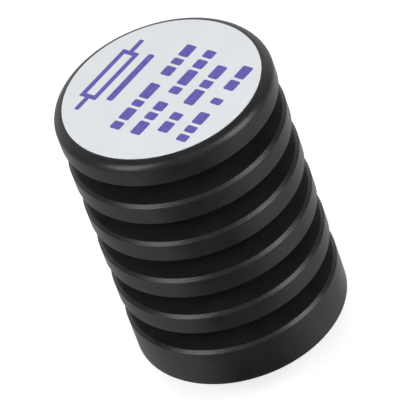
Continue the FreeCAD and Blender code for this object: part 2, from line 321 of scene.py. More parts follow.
@dataclass(frozen=True)
class FilmFinish(Finish):
    """Printed film: a dull sheen with a faint orange peel, and a few specks of dust."""

    speck_spacing: float = 2.6
    speck_size: float = 0.05
    speck_share: float = 0.12
    speck_shade: Colour = (0.30, 0.30, 0.31)

    def dress(self, sheet: NodeSheet) -> None:
        """Dress the film, then scatter the specks.

        Args:
            sheet: The material's node sheet.
        """
        super().dress(sheet)
        inputs = {"Vector": sheet.place, "Scale": 1 / (self.speck_spacing * MM)}
        cells = sheet.add("ShaderNodeTexVoronoi", inputs).outputs
        near = sheet.maths("LESS_THAN", cells["Distance"], self.speck_size / self.speck_spacing)
        red = sheet.add("ShaderNodeSeparateColor", {"Color": cells["Color"]}).outputs["Red"]
        speck = sheet.maths("MULTIPLY", near, sheet.maths("LESS_THAN", red, self.speck_share))
        film = sheet.shader.inputs["Base Color"].links[0].from_socket
        inputs = {"Factor": speck, FIRST_COLOUR: film, SECOND_COLOUR: (*self.speck_shade, 1.0)}
        mix = sheet.add("ShaderNodeMix", inputs, data_type="RGBA")
        sheet.feed(mix.outputs[MIXED_COLOUR], "Base Color")


BLACK_ANODISE = Finish(
    name="black_anodise",
    slot="black_anodised",
    shades=((0.0138, 0.0130, 0.0126), (0.0180, 0.0170, 0.0165)),
    roughness=(0.24, 0.33),
    patch=7.0,
    grain=Grain.TURNED,
    pitch=0.16,
    mark_height=0.0012,
    fleck_size=0.36,
    fleck_height=0.055,
)
LABEL_FILM = FilmFinish(
    name="label_film_finish",
    slot="label_film",
    shades=((0.735, 0.760, 0.785), (0.765, 0.790, 0.812)),
    roughness=(0.30, 0.36),
    patch=9.0,
    grain=Grain.EVEN,
    pitch=0.9,
    mark_height=0.0012,
)
VIOLET_INK = Finish(
    name="violet_ink",
    slot="label_film",
    shades=((0.088, 0.068, 0.385), (0.136, 0.116, 0.440)),
    roughness=(0.45, 0.60),
    patch=1.1,
    grain=Grain.EVEN,
    pitch=0.25,
    mark_height=0.0010,
)
NICKEL = Finish(
    name="nickel_plate",
    slot="nickel",
    shades=((0.66, 0.63, 0.58), (0.72, 0.70, 0.66)),
    roughness=(0.20, 0.32),
    patch=5.0,
    grain=Grain.TURNED,
    pitch=0.12,
    mark_height=0.0010,
    metallic=1.0,
)
STAMPED_NICKEL = replace(NICKEL, name="stamped_nickel", grain=Grain.EVEN)
BRONZE = Finish(
    name="phosphor_bronze",
    slot="spring_bronze",
    shades=((0.57, 0.36, 0.19), (0.66, 0.45, 0.27)),
    roughness=(0.24, 0.36),
    patch=3.0,
    grain=Grain.TURNED,
    pitch=0.08,
    mark_height=0.0008,
    metallic=1.0,
)
GOLD = Finish(
    name="gold_plate",
    slot="gold",
    shades=((0.80, 0.56, 0.20), (0.88, 0.66, 0.30)),
    roughness=(0.16, 0.26),
    patch=2.0,
    grain=Grain.TURNED,
    pitch=0.06,
    mark_height=0.0006,
    metallic=1.0,
)
SILICONE = Finish(
    name="silicone_rubber",
    slot="silicone",
    shades=((0.46, 0.075, 0.04), (0.58, 0.11, 0.055)),
    roughness=(0.48, 0.62),
    patch=1.6,
    grain=Grain.EVEN,
    pitch=0.3,
    mark_height=0.004,
    subsurface=0.15,
)
BRIGHT_PLATE = Finish(
    name="bright_plate_finish",
    slot="bright_plate",
    shades=((0.70, 0.69, 0.66), (0.78, 0.77, 0.75)),
    roughness=(0.20, 0.34),
    patch=2.5,
    grain=Grain.EVEN,
    pitch=0.15,
    mark_height=0.0008,
    metallic=1.0,
)
TURNED_PLATE = replace(BRIGHT_PLATE, name="turned_plate_finish", grain=Grain.TURNED, pitch=0.08)
FLUOROPOLYMER = Finish(
    name="white_fluoropolymer",
    slot="insulator",
    shades=((0.82, 0.82, 0.80), (0.87, 0.87, 0.86)),
    roughness=(0.38, 0.50),
    patch=2.0,
    grain=Grain.TURNED,
    pitch=0.10,
    mark_height=0.0015,
    ior=1.35,
    subsurface=0.25,
)
STAINLESS = Finish(
    name="stainless_steel",
    slot="stainless",
    shades=((0.55, 0.54, 0.53), (0.64, 0.63, 0.62)),
    roughness=(0.22, 0.36),
    patch=1.5,
    grain=Grain.EVEN,
    pitch=0.12,
    mark_height=0.0010,
    metallic=1.0,
)
CERAMIC = Finish(
    name="bare_ceramic",
    slot="ceramic",
    shades=((0.80, 0.79, 0.75), (0.87, 0.86, 0.82)),
    roughness=(0.55, 0.70),
    patch=1.2,
    grain=Grain.EVEN,
    pitch=0.08,
    mark_height=0.0020,
)


def box_of(node: str) -> tuple[Vector, Vector]:
    """The lowest and highest corner of a node."""
    low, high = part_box(node)
    return low / MM, high / MM


def radius_of(node: str) -> float:
    """The largest radius that stays inside a round node's box."""
    low, high = box_of(node)
    return min(-low.x, high.x, -low.y, high.y)


def screw_places() -> list[Place]:
    """Where the four flange screws stand, in the corners of a square about the axis."""
    reach = box_of("flange_screws")[1].x - SCREW_HEAD_RADIUS
    return [(x, y) for x in (-reach, reach) for y in (-reach, reach)]


def cleaned(mesh: Mesh) -> Mesh:
    """Merge a mesh's doubles and point its faces outwards.

    Args:
        mesh: The mesh.

    Returns:
        The same mesh.
    """
    bmesh.ops.remove_doubles(mesh, verts=mesh.verts, dist=MERGE_DISTANCE)
    bmesh.ops.recalc_face_normals(mesh, faces=mesh.faces)
    return mesh


def turned(outline: Section, steps: int) -> Mesh:
    """Spin an outline about the axis. One that doesn't start on the axis returns to its start.

    Args:
        outline: Half of the section, as points of radius and height.
        steps: Number of faces round the axis.

    Returns:
        The closed mesh.
    """
    mesh = bmesh.new()
    ring = [mesh.verts.new((radius, 0, height)) for radius, height in outline]
    ends = ring[1:] + ring[:1] if outline[0][0] > 0 else ring[1:]
    edges = [mesh.edges.new(pair) for pair in zip(ring, ends)]
    bmesh.ops.spin(
        mesh,
        geom=ring + edges,
        cent=ORIGIN,
        axis=AXIS,
        dvec=ORIGIN,
        angle=FULL_TURN,
        steps=steps,
        use_merge=True,
        use_duplicate=False,
    )
    return cleaned(mesh)


def wound(section: Section, climb: float, angle: float, steps: int) -> Mesh:
    """Carry a section round the axis while it climbs.

    Args:
        section: Its corners, as points of radius and height.
        climb: How far it climbs in each step.
        angle: How far round it goes, in radians.
        steps: Number of straight steps.

    Returns:
        The closed mesh.
    """
    mesh = bmesh.new()
    face = mesh.faces.new([mesh.verts.new((radius, 0, height)) for radius, height in section])
    bmesh.ops.spin(
        mesh,
        geom=[face],
        cent=ORIGIN,
        axis=AXIS,
        dvec=AXIS * climb,
        angle=angle,
        steps=steps,
        use_merge=False,
        use_duplicate=False,
    )
    return cleaned(mesh)


def placed(mesh: Mesh, place: Place = (0, 0), angle: float = 0) -> Mesh:
    """Turn a mesh about the axis and then move it to a place.

    Args:
        mesh: The mesh.
        place: How far it moves along X and Y.
        angle: How far it turns before that.

    Returns:
        The same mesh.
    """
    turn = Matrix.Rotation(math.radians(angle), 3, "Z")
    bmesh.ops.rotate(mesh, verts=mesh.verts, cent=ORIGIN, matrix=turn)
    bmesh.ops.translate(mesh, verts=mesh.verts, vec=(*place, 0))
    return mesh


def set_radius(vert: bmesh.types.BMVert, radius: float) -> None:
    """Move a point straight out from the axis, or in, to a radius."""
    share = radius / math.hypot(vert.co.x, vert.co.y)
    vert.co.xy = (vert.co.x * share, vert.co.y * share)


def round_edges(mesh: Mesh, edges: list[bmesh.types.BMEdge], width: float, segments: int) -> None:
    """Round some edges of a mesh.

    Args:
        mesh: The mesh.
        edges: The edges.
        width: Width taken off each side of an edge.
        segments: Faces across the rounding.
    """
    bmesh.ops.bevel(
        mesh,
        geom=edges,
        offset=width,
        offset_type="OFFSET",
        segments=segments,
        profile=0.5,
        affect="EDGES",
        clamp_overlap=True,
        material=-1,
    )


def break_edges(mesh: Mesh, width: float, segments: int = 2, over: float = 30) -> None:
    """Round the edges of a mesh that turn by more than an angle."""
    sharp = [edge for edge in mesh.edges if edge.calc_face_angle(0) > math.radians(over)]
    round_edges(mesh, sharp, width, segments)


def drill(radius: float, bottom: float, top: float, place: Place, steps: int, point: float = 0) -> Mesh:
    """An upright drill to cut a hole with, which may have a point above its upper end."""
    outline = [(0, bottom), (radius, bottom), (radius, top), (0, top + point)]
    return placed(turned(outline, steps), place)


def block(size: Pair, heights: Pair, middle: Place = (0, 0), corner: float = 0, segments: int = 1) -> Mesh:
    """A box, whose upright edges may be rounded.

    Args:
        size: Its length and width.
        heights: Heights of its lower and upper face.
        middle: Its middle, seen from above.
        corner: Radius of its upright edges.
        segments: Faces round each of them.

    Returns:
        The mesh.
    """
    low, high = heights
    mesh = bmesh.new()
    scale = Matrix.Diagonal((*size, high - low, 1))
    bmesh.ops.create_cube(mesh, size=1, matrix=Matrix.Translation((*middle, (low + high) / 2)) @ scale)
    if corner > 0:
        upright = [edge for edge in mesh.edges if edge.verts[0].co.xy == edge.verts[1].co.xy]
        round_edges(mesh, upright, corner, segments)
    return mesh


def stored(mesh: Mesh, name: str = "scratch") -> bpy.types.Mesh:
    """Keep a mesh as data of the file.

    Args:
        mesh: The mesh, which is freed.
        name: The data's name.

    Returns:
        The data.
    """
    data = bpy.data.meshes.new(name)
    mesh.to_mesh(data)
    mesh.free()
    return data


def in_scene(name: str, data: bpy.types.ID) -> bpy.types.Object:
    """Make an object and link it to the scene.

    Args:
        name: The object's name.
        data: Its mesh, lamp or camera.

    Returns:
        The object.
    """
    item = bpy.data.objects.new(name, data)
    bpy.context.scene.collection.objects.link(item)
    return item


def gathered(meshes: list[Mesh]) -> Mesh:
    """Gather several meshes in one.

    Args:
        meshes: The meshes, which are freed.

    Returns:
        The one mesh.
    """
    whole = bmesh.new()
    for mesh in meshes:
        data = stored(mesh)
        whole.from_mesh(data)
        bpy.data.meshes.remove(data)
    return whole


def joined(mesh: Mesh, tool: Mesh, how: Joining) -> Mesh:
    """Add a second mesh to a first one, or cut it away.

    Args:
        mesh: The mesh to change.
        tool: The mesh that is added or cut away.
        how: Whether it adds or cuts.

    Returns:
        The result. Both meshes that went in are freed.
    """
    holders = [in_scene("scratch", stored(source)) for source in (mesh, tool)]
    modifier = holders[0].modifiers.new("joining", "BOOLEAN")
    modifier.object = holders[1]
    modifier.operation = how.value
    modifier.solver = "EXACT"
    whole = bmesh.new()
    whole.from_object(holders[0], bpy.context.evaluated_depsgraph_get())
    for holder in holders:
        bpy.data.meshes.remove(holder.data)
    return whole


@dataclass
class Piece:
    """A finished piece: the body that it rides on, its finish and the solid that it stands for."""

    name: str
    body: str
    finish: Finish
    stands_for: str | None = None
    sharp_over: float = 40.0

    def place(self, mesh: Mesh) -> bpy.types.Object:
        """Make the piece's object from its mesh in millimetres, dress it and tie it to its body.

        Args:
            mesh: The finished mesh, which is freed.

        Returns:
            The object.
        """
        for face in mesh.faces:
            face.smooth = True
        for edge in mesh.edges:
            edge.smooth = edge.calc_face_angle(0) < math.radians(self.sharp_over)
        bmesh.ops.scale(mesh, vec=(MM, MM, MM), verts=mesh.verts)
        piece = in_scene(self.name, stored(mesh, self.name))
        piece.data.materials.append(self.finish.material())
        weighted = piece.modifiers.new("even_shading", "WEIGHTED_NORMAL")
        weighted.mode = "FACE_AREA"
        weighted.keep_sharp = True
        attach(piece, self.body)
        if self.stands_for is not None:
            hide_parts(self.stands_for)
        return piece


@dataclass
class FinnedBody:
    """Head, fins and base on one core, turned from one bar and anodised black."""

    core_radius: float = 15.875
    head_height: float = 6.5
    head_edge_radius: float = 2.65
    head_edge_steps: int = 14
    fin_count: int = 4
    fin_chamfer: float = 0.84
    groove_height: float = 6.97
    groove_root_chamfer: float = 0.4
    base_height: float = 11.59
    broken_edge: float = 0.07
    pocket_radius: float = 10.41
    pocket_depth: float = 7.0
    tapped_radius: float = 1.44
    tapped_depth: float = 7.0
    drill_point_share: float = 0.6
    drill_steps: int = 32
    steps: int = 256

    def outline(self) -> Section:
        """Draw half of the section.

        Returns:
            Its points, from the pocket's floor round the base, fins and head to the middle of the top.
        """
        low, high = box_of("heat_sink")
        outer, core = radius_of("heat_sink"), self.core_radius
        chamfer, corner = self.fin_chamfer, self.groove_root_chamfer
        pocket, root = low.z + self.pocket_depth, core + corner
        rim = [(0, pocket), (self.pocket_radius, pocket), (self.pocket_radius, low.z), (outer, low.z)]
        top = low.z + self.base_height
        pitch = (high.z - self.head_height - self.groove_height - top) / self.fin_count
        for _ in range(self.fin_count + 1):
            ceiling = top + self.groove_height
            rim += [(outer, top - chamfer), (outer - chamfer, top), (root, top), (core, top + corner)]
            rim += [(core, ceiling - corner), (root, ceiling), (outer, ceiling)]
            top += pitch
        edge = self.head_edge_radius
        for step in range(self.head_edge_steps + 1):
            angle = math.radians(90 * step / self.head_edge_steps)
            rim.append((outer - edge + edge * math.cos(angle), high.z - edge + edge * math.sin(angle)))
        return [*rim, (0, high.z)]

    def tapped_holes(self) -> Mesh:
        """Make the drills of the holes that take the flange screws.

        Returns:
            The mesh to cut away.
        """
        base = box_of("heat_sink")[0].z
        size = (self.tapped_radius, base - SPARE, base + self.tapped_depth)
        point = self.drill_point_share * self.tapped_radius
        return gathered([drill(*size, place, self.drill_steps, point) for place in screw_places()])

    def build(self) -> list[bpy.types.Object]:
        """Turn the body, break its edges and drill it.

        Returns:
            The finished objects.
        """
        mesh = turned(self.outline(), self.steps)
        break_edges(mesh, self.broken_edge)
        mesh = joined(mesh, self.tapped_holes(), Joining.CUT)
        return [Piece("finned_body", "load", BLACK_ANODISE, "heat_sink").place(mesh)]


@dataclass
class RatingLabel:
    """Round film on the head, with a plain violet print: a resistor's symbol over four rows of blocks.

    The print's places and sizes are in its own directions, along its rows and across them.
    """

    print_height: float = 0.012
    edge_width: float = 0.08
    baseline_angle: float = 39.0
    stroke: float = 1.4
    symbol_size: Pair = (18.6, 5.4)
    symbol_lead: float = 4.6
    symbol_place: Place = (-0.7, 16.6)
    rule_size: Pair = (18.2, 2.0)
    rule_place: Place = (0.4, 10.4)
    bar_height: float = 3.2
    bar_gap: float = 0.9
    group_gap: float = 3.4
    lead_corner: float = 0.35
    bar_corner: float = 0.5
    corner_segments: int = 5
    row_places: tuple[Place, ...] = ((-0.3, 2.2), (-0.1, -4.3), (-0.4, -10.7), (0.2, -17.4))
    rows: tuple[tuple[tuple[float, ...], ...], ...] = (
        ((2.7, 4.3, 2.3, 5.6), (3.4, 2.3, 4.4)),
        ((4.8, 2.6, 3.2), (2.6, 5.6, 3.2, 2.8)),
        ((3.8, 2.6), (5.6, 2.8, 4.8)),
        ((2.4, 2.4, 4.2), (2.2,), (3.6, 4.6)),
    )
    steps: int = 256

    def film(self) -> bpy.types.Object:
        """Make the film itself, a thin disc.

        Returns:
            The object.
        """
        low, high = box_of("label")
        radius = radius_of("label")
        top = high.z - self.print_height
        mesh = turned([(0, low.z), (radius, low.z), (radius, top), (0, top)], self.steps)
        break_edges(mesh, self.edge_width)
        return Piece("label_film", "load", LABEL_FILM, "label").place(mesh)

    def ink_heights(self) -> Pair:
        """Heights of the ink's lower and upper face: it is sunk in the film by as much as it stands out."""
        top = box_of("label")[1].z
        return top - 2 * self.print_height, top

    def patch(self, size: Pair, middle: Place, corner: float) -> Mesh:
        """A flat patch of ink with rounded corners."""
        return block(size, self.ink_heights(), middle, corner, self.corner_segments)

    def open_box(self) -> Mesh:
        """Draw the line round the symbol's open box.

        Returns:
            The mesh.
        """
        low, high = self.ink_heights()
        scale = Matrix.Diagonal((*self.symbol_size, 1, 1))
        matrix = Matrix.Translation((*self.symbol_place, low)) @ scale
        mesh = bmesh.new()
        bmesh.ops.create_grid(mesh, x_segments=1, y_segments=1, size=0.5, matrix=matrix)
        inner = list(mesh.faces)
        bmesh.ops.inset_region(
            mesh, faces=inner, thickness=self.stroke, use_boundary=True, use_even_offset=True
        )
        bmesh.ops.delete(mesh, geom=inner, context="FACES")
        raised = bmesh.ops.extrude_face_region(mesh, geom=list(mesh.faces))["geom"]
        verts = [item for item in raised if isinstance(item, bmesh.types.BMVert)]
        bmesh.ops.translate(mesh, vec=AXIS * (high - low), verts=verts)
        return cleaned(mesh)

    def symbol(self) -> list[Mesh]:
        """Draw a resistor's symbol: an open box with a lead at each end.

        Returns:
            The box and the leads.
        """
        x, y = self.symbol_place
        reach = (self.symbol_size[0] + self.symbol_lead) / 2
        size = (self.symbol_lead, self.stroke)
        leads = [self.patch(size, (x + side * reach, y), self.lead_corner) for side in (-1, 1)]
        return [self.open_box(), *leads]

    def row(self, groups: tuple[tuple[float, ...], ...], place: Place) -> list[Mesh]:
        """One row of bars.

        Args:
            groups: The bars' lengths, group by group.
            place: The row's middle.

        Returns:
            The bars.
        """
        inner = sum(sum(group) + self.bar_gap * (len(group) - 1) for group in groups)
        start = place[0] - (inner + self.group_gap * (len(groups) - 1)) / 2
        bars = []
        for group in groups:
            for length in group:
                middle = (start + length / 2, place[1])
                bars.append(self.patch((length, self.bar_height), middle, self.bar_corner))
                start += length + self.bar_gap
            start += self.group_gap - self.bar_gap
        return bars

    def ink(self) -> bpy.types.Object:
        """Make the whole print, turned to the direction of its rows.

        Returns:
            The object.
        """
        parts = [*self.symbol(), self.patch(self.rule_size, self.rule_place, self.bar_corner)]
        for groups, place in zip(self.rows, self.row_places):
            parts.extend(self.row(groups, place))
        mesh = placed(gathered(parts), angle=self.baseline_angle)
        return Piece("label_print", "load", VIOLET_INK).place(mesh)

    def build(self) -> list[bpy.types.Object]:
        """Lay the film and its print."""
        return [self.film(), self.ink()]


@dataclass
class CouplingNut:
    """Knurled nut with a fine helical thread, free to turn on the plug's neck.

    The knurl's crest and flank are shares of half its pitch, and the rest of it is the valley.
    """

    thread_pitch: float = 25.4 / 24
    thread_depth: float = 0.4875
    thread_start: float = 0.55
    thread_end: float = 8.5
    thread_root_share: float = 7 / 16
    thread_flank_angle: float = 30.0
    thread_sunk: float = 0.04
    run_out_turns: float = 0.5
    steps_per_turn: int = 96
    bore_radius: float = 7.45
    mouth_chamfer: float = 0.125
    relief_radius: float = 7.95
    relief_start: float = 8.7
    lip_radius: float = 7.08
    lip_thickness: float = 1.15
    rim_step: float = 0.4
    rim_length: float = 1.6
    rim_chamfer: float = 0.6
    neck_step: float = 1.1
    neck_z: float = 11.3
    step_chamfer: float = 0.3
    broken_edge: float = 0.05
    radius: float = 10.3
    knurl_count: int = 48
    knurl_depth: float = 0.4
    knurl_crest: float = 0.1
    knurl_flank: float = 0.8
    knurl_margin: float = 0.1
    steps_per_knurl: int = 6

    def wall(self) -> Mesh:
        """Turn the nut's wall, with its bore at the root of the thread.

        Returns:
            The mesh.
        """
        low, high = box_of("coupling_nut")
        root = self.bore_radius + self.thread_depth
        rim, neck = self.radius - self.rim_step, self.radius - self.neck_step
        step, lip = self.step_chamfer, high.z - self.lip_thickness
        wall = [
            (root + self.mouth_chamfer, low.z),
            (rim - self.rim_chamfer, low.z),
            (rim, low.z + self.rim_chamfer),
            (rim, self.rim_length),
            (self.radius - step, self.rim_length),
            (self.radius, self.rim_length + step),
            (self.radius, self.neck_z - step),
            (self.radius - step, self.neck_z),
            (neck, self.neck_z),
            (neck, high.z - step),
            (neck - step, high.z),
            (self.lip_radius, high.z),
            (self.lip_radius, lip),
            (self.relief_radius, lip),
            (self.relief_radius, self.relief_start),
            (root, self.relief_start),
            (root, low.z + self.mouth_chamfer),
        ]
        mesh = turned(wall, self.knurl_count * self.steps_per_knurl)
        break_edges(mesh, self.broken_edge)
        return mesh

    def knurl(self, mesh: Mesh) -> None:
        """Press the straight grooves of the knurl into the grip.

        Args:
            mesh: The turned wall.
        """
        bottom, top = self.rim_length - self.knurl_margin, self.neck_z + self.knurl_margin
        for vert in mesh.verts:
            radius = math.hypot(vert.co.x, vert.co.y)
            if radius <= self.radius - self.knurl_depth or not bottom < vert.co.z < top:
                continue
            turn = math.atan2(vert.co.y, vert.co.x) / FULL_TURN * self.knurl_count
            off_crest = 2 * abs(turn - round(turn))
            share = min(1, max(0, (off_crest - self.knurl_crest) / self.knurl_flank))
            limit = self.radius - self.knurl_depth * share
            if radius > limit:
                set_radius(vert, limit)

    def thread(self) -> Mesh:
        """Wind the ridge of the thread up the bore, and run both its ends out into the wall.

        Returns:
            The mesh.
        """
        height = self.thread_depth + self.thread_sunk
        slope = math.tan(math.radians(self.thread_flank_angle))
        half_root = self.thread_pitch * self.thread_root_share + self.thread_sunk * slope
        half_crest = half_root - height * slope
        crest, root = self.bore_radius, self.bore_radius + height
        start = self.thread_start + half_root
        turns = (self.thread_end - half_root - start) / self.thread_pitch
        steps = int(turns * self.steps_per_turn)
        climb = self.thread_pitch / self.steps_per_turn
        section = [(root, start - half_root), (crest, start - half_crest)]
        section += [(crest, start + half_crest), (root, start + half_root)]
        mesh = wound(section, climb, FULL_TURN * steps / self.steps_per_turn, steps)
        run_out = self.run_out_turns * self.thread_pitch
        last = start + steps * climb
        for vert in mesh.verts:
            radius = math.hypot(vert.co.x, vert.co.y)
            from_end = min(vert.co.z - start, last - vert.co.z)
            if radius < root - self.thread_sunk and from_end < run_out:
                share = 1 - max(0, from_end) / run_out
                set_radius(vert, radius + (self.thread_depth + self.thread_sunk / 2) * share)
        return mesh

    def build(self) -> list[bpy.types.Object]:
        """Turn the wall, knurl it and cut its thread.

        Returns:
            The finished objects.
        """
        mesh = self.wall()
        self.knurl(mesh)
        mesh = joined(mesh, self.thread(), Joining.ADD)
        return [Piece("knurled_nut", "nut", NICKEL, "coupling_nut", sharp_over=24).place(mesh)]


@dataclass
class ScrewOnPlug:
    """Square flange and neck with the contacts, the front bead and the gasket."""

    corner_radius: float = 2.0
    corner_segments: int = 10
    flange_thickness: float = 1.8
    flange_edge: float = 0.12
    edge_over: float = 60.0
    neck_radius: float = 7.0
    neck_chamfer: float = 0.2
    neck_land: float = 0.6
    neck_overlap: float = 0.5
    neck_steps: int = 160
    groove_height: float = 0.9
    groove_depth: float = 0.7
    root_radius: float = 4.85
    contact_seat_depth: float = 2.6
    bead_radius: float = 4.4
    bead_clearance: float = 0.03
    bead_edge: float = 0.08
    bush_radius: float = 5.5
    bush_length: float = 1.0
    bore_steps: int = 96
    screw_hole_radius: float = 1.6
    screw_hole_steps: int = 48
    contact_radius: float = 4.06
    contact_wall: float = 0.56
    contact_root_z: float = 10.0
    contact_step: float = 0.2
    contact_chamfers: Pair = (0.1, 0.2)
    contact_edge: float = 0.03
    slot_count: int = 6
    slot_width: float = 0.4
    slot_length: float = 4.2
    pin_radius: float = 0.82
    pin_nose: tuple[Place, ...] = ((0.245, 0.0), (0.35, 0.06), (0.77, 0.52))
    pin_nose_length: float = 0.7
    pin_shoulder_z: float = 6.6
    pin_steps: int = 72
    shoulder_radius: float = 1.52
    shoulder_chamfer: float = 0.2
    collar_radius: float = 2.2
    collar: Pair = (12.2, 12.9)
    tail_radius: float = 1.2
    tail_slot: Pair = (0.3, 2.2)
    gasket_clearance: float = 0.15
    gasket_edge: float = 0.25
    ring_steps: int = 120
    ring_segments: int = 3

    def bores(self) -> Mesh:
        """Make the cutters of the stepped bore and the screw holes.

        Returns:
            The mesh to cut away.
        """
        low, high = box_of("plug_body")
        bottom, top = low.z - SPARE, high.z + SPARE
        seat, bush = low.z + self.contact_seat_depth, high.z - self.bush_length
        bore = [(0, bottom), (self.root_radius, bottom), (self.root_radius, seat), (self.bead_radius, seat)]
        bore += [(self.bead_radius, bush), (self.bush_radius, bush), (self.bush_radius, top), (0, top)]
        hole = (self.screw_hole_radius, high.z - self.flange_thickness - SPARE, top)
        holes = [drill(*hole, place, self.screw_hole_steps) for place in screw_places()]
        return gathered([turned(bore, self.bore_steps), *holes])

    def flange_and_neck(self) -> bpy.types.Object:
        """Make the plated body: a square flange and a neck in one piece.

        Returns:
            The object.
        """
        low, high = box_of("plug_body")
        flange = high.z - self.flange_thickness
        square = (high.x - low.x,) * 2
        mesh = block(square, (flange, high.z), corner=self.corner_radius, segments=self.corner_segments)
        break_edges(mesh, self.flange_edge, over=self.edge_over)
        outer, inner = self.neck_radius, self.neck_radius - self.groove_depth
        groove, inside = low.z + self.neck_land, flange + self.neck_overlap
        neck = [(0, low.z), (outer - self.neck_chamfer, low.z), (outer, low.z + self.neck_chamfer)]
        neck += [(outer, groove), (inner, groove), (inner, groove + self.groove_height)]
        neck += [(outer, groove + self.groove_height), (outer, inside), (0, inside)]
        mesh = joined(mesh, turned(neck, self.neck_steps), Joining.ADD)
        mesh = joined(mesh, self.bores(), Joining.CUT)
        return Piece("flange_and_neck", "load", NICKEL, "plug_body").place(mesh)

    def contact_barrel(self) -> bpy.types.Object:
        """Make the outer contact: a slotted barrel with a stepped root.

        Returns:
            The object.
        """
        low, high = box_of("outer_contact")
        outer, inner = self.contact_radius, self.contact_radius - self.contact_wall
        inside, outside = self.contact_chamfers
        root, step = self.contact_root_z, self.contact_root_z + self.contact_step
        broad, bead = self.root_radius, self.bead_radius
        wall = [(inner, low.z + inside), (inner + inside, low.z), (outer - outside, low.z)]
        wall += [(outer, low.z + outside), (outer, root), (broad, root), (broad, high.z)]
        wall += [(bead, high.z), (bead, step), (inner, step)]
        mesh = turned(wall, self.ring_steps)
        break_edges(mesh, self.contact_edge)
        size = (2 * self.contact_wall + SPARE, self.slot_width)
        heights = (low.z - SPARE, low.z + self.slot_length)
        angles = [360 * index / self.slot_count for index in range(self.slot_count)]
        slots = gathered([placed(block(size, heights, (outer, 0)), angle=angle) for angle in angles])
        mesh = joined(mesh, slots, Joining.CUT)
        return Piece("contact_barrel", "load", TURNED_PLATE, "outer_contact").place(mesh)

    def pin(self) -> bpy.types.Object:
        """Make the centre contact, with its rounded nose, shoulder, collar and slotted tail.

        Returns:
            The object.
        """
        low, high = box_of("centre_pin")
        shoulder, start, chamfer = self.shoulder_radius, self.pin_shoulder_z, self.shoulder_chamfer
        bottom, top = self.collar
        pin = [(0, low.z), *((radius, low.z + rise) for radius, rise in self.pin_nose)]
        pin += [(self.pin_radius, low.z + self.pin_nose_length), (self.pin_radius, start)]
        pin += [(shoulder - chamfer, start), (shoulder, start + chamfer), (shoulder, bottom)]
        pin += [(self.collar_radius, bottom), (self.collar_radius, top), (self.tail_radius, top)]
        pin += [(self.tail_radius, high.z), (0, high.z)]
        mesh = turned(pin, self.pin_steps)
        break_edges(mesh, self.contact_edge)
        width, depth = self.tail_slot
        slot = block((2 * (self.tail_radius + SPARE), width), (high.z - depth, high.z + SPARE))
        mesh = joined(mesh, slot, Joining.CUT)
        return Piece("contact_pin", "load", GOLD, "centre_pin").place(mesh)

    def ring(self, node: str, inner: float, edge: float, name: str, finish: Finish) -> bpy.types.Object:
        """A plain ring in the place of a node.

        Args:
            node: The solid that it stands for.
            inner: Radius of its hole.
            edge: Radius of its edges.
            name: The piece's name.
            finish: Its finish.

        Returns:
            The object.
        """
        low, high = box_of(node)
        outer = radius_of(node)
        mesh = turned([(inner, low.z), (outer, low.z), (outer, high.z), (inner, high.z)], self.ring_steps)
        break_edges(mesh, edge, segments=self.ring_segments)
        return Piece(name, "load", finish, node).place(mesh)

    def build(self) -> list[bpy.types.Object]:
        """Make the plug's pieces.

        Returns:
            The finished objects.
        """
        bead = self.shoulder_radius + self.bead_clearance
        gasket = self.root_radius + self.gasket_clearance
        return [
            self.flange_and_neck(),
            self.contact_barrel(),
            self.pin(),
            self.ring("front_insulator", bead, self.bead_edge, "front_bead", FLUOROPOLYMER),
            self.ring("gasket", gasket, self.gasket_edge, "seal_ring", SILICONE),
        ]


@dataclass
class FlangeFasteners:
    """Four slotted screws with split lock washers, from below through the flange."""

    head_height: float = 1.9
    head_bevel: float = 0.45
    shank_radius: float = 1.42
    tip_chamfer: float = 0.3
    screw_edge: float = 0.06
    screw_steps: int = 64
    slot: Pair = (0.8, 0.8)
    corner_angles: tuple[float, ...] = (20, 95, -35, 62)
    washer_inner: float = 1.5
    washer_outer: float = 2.6
    washer_split: float = 0.5
    washer_rise: float = 0.12
    washer_edge: float = 0.04
    washer_edge_over: float = 60.0
    washer_steps: int = 60

    def screw(self) -> Mesh:
        """Make one screw on the axis.

        Returns:
            The mesh.
        """
        low, high = box_of("flange_screws")
        head, shank, tip = SCREW_HEAD_RADIUS, self.shank_radius, self.tip_chamfer
        seat = low.z + self.head_height
        body = [(0, low.z), (head - self.head_bevel, low.z), (head, low.z + self.head_bevel), (head, seat)]
        body += [(shank, seat), (shank, high.z - tip), (shank - tip, high.z), (0, high.z)]
        mesh = turned(body, self.screw_steps)
        break_edges(mesh, self.screw_edge)
        width, depth = self.slot
        slot = block((2 * (head + SPARE), width), (low.z - SPARE, low.z + depth))
        return joined(mesh, slot, Joining.CUT)

    def washer(self) -> Mesh:
        """Make one split washer on the axis, sprung a little out of flat.

        Returns:
            The mesh.
        """
        low, high = box_of("flange_washers")
        inner, outer = self.washer_inner, self.washer_outer
        top = high.z - self.washer_rise
        section = [(inner, low.z), (outer, low.z), (outer, top), (inner, top)]
        angle = FULL_TURN - self.washer_split / outer
        mesh = wound(section, self.washer_rise / self.washer_steps, angle, self.washer_steps)
        break_edges(mesh, self.washer_edge, over=self.washer_edge_over)
        return mesh

    def at_corners(self, make: Callable[[], Mesh]) -> Mesh:
        """Put four of what a method makes at the screws' places, each turned its own way."""
        turns = zip(screw_places(), self.corner_angles)
        return gathered([placed(make(), place, angle) for place, angle in turns])

    def build(self) -> list[bpy.types.Object]:
        """Make the screws and washers.

        Returns:
            The finished objects.
        """
        screws, washers = self.at_corners(self.screw), self.at_corners(self.washer)
        return [
            Piece("slotted_screws", "load", STAINLESS, "flange_screws").place(screws),
            Piece("lock_washers", "load", STAINLESS, "flange_washers").place(washers),
        ]


